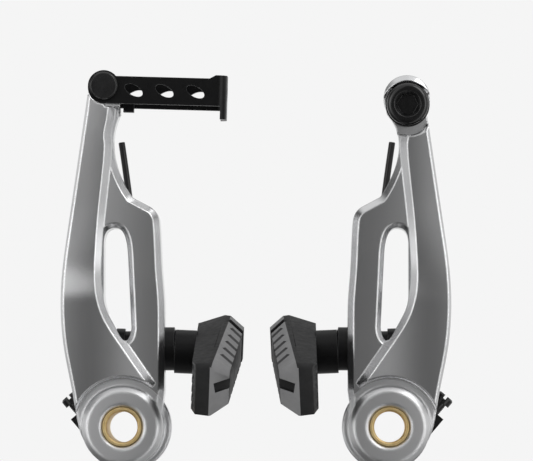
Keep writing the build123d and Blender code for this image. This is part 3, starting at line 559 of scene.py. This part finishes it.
def ramp_set_back(z):
    """How far the strut's front stands back from the lower body's front, at a height."""
    up = share_of(z, RAMP_FOOT, RAMP_TOP)
    left = share_of(z, RAMP_END, RAMP_TOP)
    return RAMP_DEPTH * (1 - (1 - up) ** 3 * (1 + 3 * up)) * left * left * (3 - 2 * left)


def raise_strut_head(build):
    """Takes the top of the left strut's front up round the end of the cable link."""
    for step in range(1, HEAD_STEPS):
        faces = [face for face in build.faces if min(vert.co.z for vert in face.verts) > HEAD_FOOT]
        edges = {edge for face in faces for edge in face.edges}
        verts = {vert for face in faces for vert in face.verts}
        across = STRUT_TOP[0] + step * (NECK_TOP[0] - STRUT_TOP[0]) / HEAD_STEPS
        plane = on_side("left", (across, 0, 0))
        bmesh.ops.bisect_plane(
            build, geom=faces + list(edges | verts), plane_co=plane, plane_no=(1, 0, 0),
        )
    for vert in build.verts:
        u, z = vert.co.x + PIVOT_X, vert.co.z
        share = (u - STRUT_TOP[0]) / (NECK_TOP[0] - STRUT_TOP[0])
        top = STRUT_TOP[1] + share * (NECK_TOP[1] - STRUT_TOP[1])
        if vert.co.y > HEAD_BACK or abs(z - top) > HEAD_BAND or not HEAD_SPAN[0] < share < HEAD_SPAN[1]:
            continue
        across = min(abs(u - LINK_PIN[0]), LINK_CLEAR * LINK_ARC)
        round_link = LINK_PIN[1] - math.sqrt(LINK_CLEAR ** 2 - across ** 2)
        rise = (round_link if u < LINK_PIN[0] else LINK_UNDERSIDE) - top
        vert.co += Vector((STRUT_LEAN * rise * max(0.0, 1 - 3 * share), 0, rise))


def open_recess(build):
    """Takes the recess under the cable anchor down to a thin rim, and leans the hood above it back."""
    outer, inner = RECESS_SPAN
    for vert in build.verts:
        u, z = PIVOT_X - vert.co.x - RECESS[0], vert.co.z - RECESS[1]
        at_edge = z < 0 and abs(math.hypot(u, z) - RECESS_R) < RECESS_EDGE
        if not at_edge or vert.co.y > RECESS_FLOOR + RECESS_EDGE / 2:
            continue
        from_middle = (2 * u - inner - outer) / (inner - outer)
        drop = RECESS_DROP * max(0.0, 1 - from_middle ** RECESS_FADE)
        vert.co.z -= drop
        if vert.co.y < RECESS_FLOOR - RIM_DEPTH:
            vert.co.y -= drop
    hood_front = min(vert.co.y for vert in build.verts if vert.co.z > HOOD_FOOT)
    for vert in build.verts:
        ahead = max(0.0, (RECESS_FLOOR - vert.co.y) / (RECESS_FLOOR - hood_front))
        vert.co.y += HOOD_LEAN * ahead * share_of(vert.co.z, HOOD_FOOT, HOOD_TOP)


def forged_arm(side):
    """Arm with the hollow ramp that leads from its strut to its lower body."""
    build = bmesh.new()
    build.from_mesh(frame["nodes"][side + "_arm"].data)
    bmesh.ops.remove_doubles(build, verts=build.verts, dist=WELD)
    levels = [RAMP_FOOT + (RAMP_TOP - RAMP_FOOT) * step / RAMP_STEPS for step in range(RAMP_STEPS)]
    end_steps = range(RAMP_END_STEPS + 1)
    levels += [RAMP_TOP + (RAMP_END - RAMP_TOP) * step / RAMP_END_STEPS for step in end_steps]
    for level in levels + [HEAD_FOOT + HEAD_CUT]:
        cut = build.verts[:] + build.edges[:] + build.faces[:]
        bmesh.ops.bisect_plane(build, geom=cut, plane_co=(0, 0, level), plane_no=(0, 0, 1))
    reshape_head = {"left": raise_strut_head, "right": open_recess}
    reshape_head[side](build)
    for edge in build.edges:
        edge.smooth = edge.calc_face_angle(0) < ARM_CREASE
    for face in build.faces:
        centre = face.calc_center_median()
        if centre.y < LEG_FRONT and face.normal.y < -0.5 and RAMP_FOOT < centre.z < RAMP_END:
            face.smooth = True
    for vert in build.verts:
        raised = share_of(vert.co.y, LEG_FRONT, STRUT_FRONT)
        vert.co.y += raised * ramp_set_back(vert.co.z)
    arm = new_piece(side + "_forged_arm", build, FORGING, smooth=False)
    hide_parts(side + "_arm")
    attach(arm, side + "_arm")


def along_pad(ends, y):
    """Value at a place along the pad, between its tail and its nose."""
    tail, nose = ends
    return tail + (nose - tail) * (PAD_TAIL - y) / (PAD_TAIL + PAD_NOSE)


def beside_line(point, line):
    """Distance of a point from a line in a plane."""
    (ax, ay), (bx, by) = line
    length = math.hypot(bx - ax, by - ay)
    return abs((bx - ax) * (point[1] - ay) - (by - ay) * (point[0] - ax)) / length


def pad_place(side, point):
    """Place of a point from the pad's back: inward, along the pad to its tail, and up across it."""
    inward = Vector(STUD_AXIS)
    up = Vector((-STUD_AXIS[2], 0, STUD_AXIS[0]))
    back = Vector((0, 1, 0))
    lengthwise = back * math.cos(PAD_PITCH) + up * math.sin(PAD_PITCH)
    upward = up * math.cos(PAD_PITCH) - back * math.sin(PAD_PITCH)
    offset = Vector((SIDES[side] * point.x + PIVOT_X, point.y, point.z)) - Vector(STUD)
    return offset.dot(inward) - PAD_BACK, offset.dot(lengthwise), offset.dot(upward)


def pad_zone(side, centre, normal):
    """Rubber of a face of the pad: 0 dark base, 1 grey compound, 2 groove in the compound, darkened with
    painted shade.
    """
    facing = along_side(side, normal).dot(Vector(STUD_AXIS))
    x, y, z = pad_place(side, centre)
    ridge, thick = along_pad(PAD_RIDGE, y), along_pad(PAD_THICK, y)
    on_base = x < min(ridge, PAD_RIDGE[0]) - COMPOUND_LIP and y > COMPOUND_LIP - PAD_NOSE
    # The faces toward the rim get the dark base rubber: partly its own dark colour, partly painted shade
    # for a face turned away from the light.
    if facing > FRICTION_FACING or on_base:
        return 0
    sunk = min(
        beside_line((x, abs(z)), ((ridge, PAD_RIDGE_HALF), (thick, PAD_FRICTION_HALF))),
        beside_line((x, y), PAD_NOSE_CUT),
    )
    rounded = z > 0 and y < PAD_NOSE_ROUND * 2 - PAD_NOSE and sunk < PAD_NOSE_ROUND / 2
    if facing > COMPOUND_FACING and (sunk < COMPOUND_SKIN or rounded):
        return 1
    # Faces in a groove get the darker copy of the compound: painted shade.
    return 2 if sunk < GROOVE_DEPTH and facing > COMPOUND_FACING else 0


def on_nose_brow(side, edge):
    """True for an edge between the pad's upper faces and its nose."""
    x, y, z = pad_place(side, (edge.verts[0].co + edge.verts[1].co) / 2)
    level = abs(edge.verts[0].co.z - edge.verts[1].co.z) < BROW_SLOPE * edge.calc_length()
    return x > BROW_FROM[0] and y < BROW_FROM[1] - PAD_NOSE and z > BROW_FROM[2] and level


def moulded_pad(side):
    """Pad of two rubbers, with the rounded edges of its mould, and painted shade in its grooves from a
    darker copy of the compound.
    """
    build = bmesh.new()
    build.from_mesh(frame["nodes"][side + "_pad"].data)
    bmesh.ops.remove_doubles(build, verts=build.verts, dist=WELD)
    bmesh.ops.dissolve_limit(build, angle_limit=PAD_FLAT, verts=build.verts, edges=build.edges)
    rounding = {"profile": 0.5, "affect": "EDGES", "clamp_overlap": True}
    brow = [edge for edge in build.edges if on_nose_brow(side, edge)]
    brow = [edge for edge in brow if edge.calc_face_angle(0) > BROW_CREASE]
    bmesh.ops.bevel(build, geom=brow, offset=PAD_NOSE_ROUND, segments=6, **rounding)
    shared = [edge for edge in build.edges if len(edge.link_faces) == 2]
    sharp = [edge for edge in shared if edge.calc_face_angle() > MOULD_CREASE]
    bmesh.ops.bevel(build, geom=sharp, offset=MOULD_EDGE, segments=2, **rounding)
    bmesh.ops.triangulate(build, faces=[face for face in build.faces if len(face.verts) > 4])
    pad = new_piece(side + "_moulded_pad", build, RUBBER)
    pad.data.materials.append(COMPOUND)
    # Third slot: the compound darkened as painted shade for the grooves.
    pad.data.materials.append(COMPOUND_GROOVE_SHADE)
    for face in pad.data.polygons:
        face.material_index = pad_zone(side, face.center, face.normal)
    pad.data.set_sharp_from_angle(angle=PAD_CREASE)
    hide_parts(side + "_pad")
    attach(pad, side + "_pad")


def thread(name, start, direction, length, radius, pitch, body, material):
    """Raised screw thread round a shank."""
    axis = direction.normalized()
    side = axis.orthogonal().normalized()
    across = axis.cross(side)
    steps = int(THREAD_STEPS * length / pitch)
    points = []
    for step in range(steps + 1):
        angle = 2 * math.pi * step / THREAD_STEPS
        out = side * math.cos(angle) + across * math.sin(angle)
        points.append(start + axis * (length * step / steps) + radius * out)
    build = bmesh.new()
    add_wire(build, points, THREAD_HEIGHT * pitch, THREAD_SIDES, 1.0)
    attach(new_piece(name, build, material), body)


for side in SIDES:
    forged_arm(side)
    return_spring(side)
    moulded_pad(side)
    thread_start = on_side(side, Vector(SCREW_HEAD) + THREAD_START * Vector(SCREW_AXIS))
    thread(
        side + "_screw_thread", thread_start, along_side(side, SCREW_AXIS),
        THREAD_LENGTH, THREAD_R, THREAD_PITCH, side + "_tension_screw", BLACK_OXIDE,
    )


# Floor, light and camera

FLOOR_R = 0.3
FLOOR_FADE = (0.12, 0.28)


def studio_floor():
    """Pale floor under the brake, fading out towards its rim."""
    build = bmesh.new()
    level = Matrix.Translation((0, 0, cad_box[0][2]))
    bmesh.ops.create_circle(build, cap_ends=True, segments=96, radius=FLOOR_R, matrix=level)
    mesh = bpy.data.meshes.new("studio_floor")
    build.to_mesh(mesh)
    build.free()
    floor = bpy.data.objects.new("studio_floor", mesh)
    bpy.context.scene.collection.objects.link(floor)
    material, tree, shader = finish_of("studio_floor", Roughness=0.8)
    shader.inputs["Base Color"].default_value = (0.85, 0.85, 0.85, 1.0)
    place = add(tree, "TexCoord").outputs["Object"]
    flat = add(tree, "VectorMath", {0: place, 1: (1.0, 1.0, 0.0)}, operation="MULTIPLY")
    reach = add(tree, "VectorMath", {0: flat.outputs[0]}, operation="LENGTH")
    feed(tree, shader, Alpha=ranged(tree, reach.outputs["Value"], *FLOOR_FADE, 1.0, 0.0))
    dress(floor, material)
    floor.visible_glossy = False


def studio_lamp(name, place, aim, width, height, power, mirrored=True):
    """Softbox that the camera doesn't see, with or without its image in polished faces."""
    lamp = bpy.data.lights.new(name, "AREA")
    lamp.shape = "RECTANGLE"
    lamp.size = width
    lamp.size_y = height
    lamp.energy = power
    holder = bpy.data.objects.new(name, lamp)
    holder.location = place
    holder.rotation_euler = (Vector(aim) - Vector(place)).to_track_quat("-Z", "Y").to_euler()
    holder.visible_camera = False
    holder.visible_glossy = mirrored
    bpy.context.scene.collection.objects.link(holder)


# Brightness of the room against the bearing from straight ahead, in degrees
ROOM = [
    (0, 0.075), (6, 0.14), (13, 0.36), (20, 0.22), (28, 0.3), (36, 2.0),
    (56, 2.0), (68, 0.5), (90, 0.65), (115, 0.8), (180, 0.85),
]


def studio_world():
    """Room dim in front, bright in a strip to each side, pale behind, with less light from below."""
    world = bpy.data.worlds.new("studio")
    bpy.context.scene.world = world
    world.use_nodes = True
    tree = world.node_tree
    background = tree.nodes["Background"]
    direction = add(tree, "SeparateXYZ", {0: add(tree, "TexCoord").outputs["Generated"]}).outputs
    sideways = add(tree, "Math", {0: direction["X"]}, operation="ABSOLUTE")
    ahead = add(tree, "Math", {0: direction["Y"], 1: -1.0}, operation="MULTIPLY")
    bearing = add(tree, "Math", {0: sideways.outputs[0], 1: ahead.outputs[0]}, operation="ARCTAN2")
    turn = add(tree, "Math", {0: bearing.outputs[0], 1: math.pi}, operation="DIVIDE")
    walls = add(tree, "ValToRGB", {"Fac": turn.outputs[0]})
    stops = walls.color_ramp.elements
    stops[0].color = (ROOM[0][1],) * 3 + (1.0,)
    stops[1].color = (ROOM[-1][1],) * 3 + (1.0,)
    for angle, level in ROOM[1:-1]:
        stops.new(angle / 180).color = (level, level, level, 1.0)
    below = ranged(tree, direction["X"], -0.3, 0.3, 0.18, 0.45)
    lower = ranged(tree, direction["Z"], -0.6, 0.0, below)
    above = ranged(tree, direction["X"], -0.3, 0.3, 0.28, 0.5)
    upper = ranged(tree, direction["Z"], 0.2, 0.5, 1.0, above)
    shade = add(tree, "Math", {0: lower, 1: upper}, operation="MULTIPLY")
    lowered = add(tree, "Math", {0: walls.outputs["Color"], 1: shade.outputs[0]}, operation="MULTIPLY")
    ceiling = ranged(tree, direction["Z"], 0.55, 0.85, 0.0, 0.75)
    surroundings = add(tree, "Math", {0: lowered.outputs[0], 1: ceiling}, operation="MAXIMUM")
    path = add(tree, "LightPath").outputs
    glossy, clear = path["Is Glossy Ray"], path["Is Transmission Ray"]
    seen = add(tree, "Math", {0: glossy, 1: clear}, operation="MAXIMUM")
    lit = add(tree, "Mix", {"Factor": seen.outputs[0]}, data_type="RGBA")
    lit.inputs["A"].default_value = (0.72, 0.72, 0.72, 1.0)
    tree.links.new(surroundings.outputs[0], lit.inputs["B"])
    shown = add(tree, "Mix", {"Factor": path["Is Camera Ray"]}, data_type="RGBA")
    tree.links.new(lit.outputs["Result"], shown.inputs["A"])
    shown.inputs["B"].default_value = (0.913, 0.913, 0.913, 1.0)
    tree.links.new(shown.outputs["Result"], background.inputs["Color"])


studio_floor()
studio_world()
studio_lamp("front_softbox", (-0.32, -0.62, 0.45), (-0.32, 0, 0.45), 0.6, 0.6, 0.66)
studio_lamp("side_softbox", (0.5, -0.3, 0.62), (0, 0, 0.045), 0.5, 0.5, 1.5)
studio_lamp("top_softbox", (0.0, -0.1, 0.75), (0, 0, 0.045), 1.0, 0.8, 1.0, mirrored=False)

VIEW_CENTRE = Vector((0.0028, STRUT_FRONT, 0.0514))
VIEW_WIDTH = 0.1395
VIEW_DISTANCE = 1.5
VIEW_SIDEWAYS = math.radians(0.9)
SENSOR_WIDTH = 36.0
view = bpy.data.cameras.new("camera")
view.sensor_width = SENSOR_WIDTH
view.lens = SENSOR_WIDTH * VIEW_DISTANCE / VIEW_WIDTH
view.clip_end = 20.0
camera = bpy.data.objects.new("camera", view)
camera.location = (
    VIEW_CENTRE.x + VIEW_DISTANCE * math.sin(VIEW_SIDEWAYS),
    VIEW_CENTRE.y - VIEW_DISTANCE * math.cos(VIEW_SIDEWAYS),
    0.0,
)
camera.rotation_euler = (VIEW_CENTRE - camera.location).to_track_quat("-Z", "Y").to_euler()
bpy.context.scene.collection.objects.link(camera)
bpy.context.scene.camera = camera
bpy.context.scene.view_settings.view_transform = "Standard"
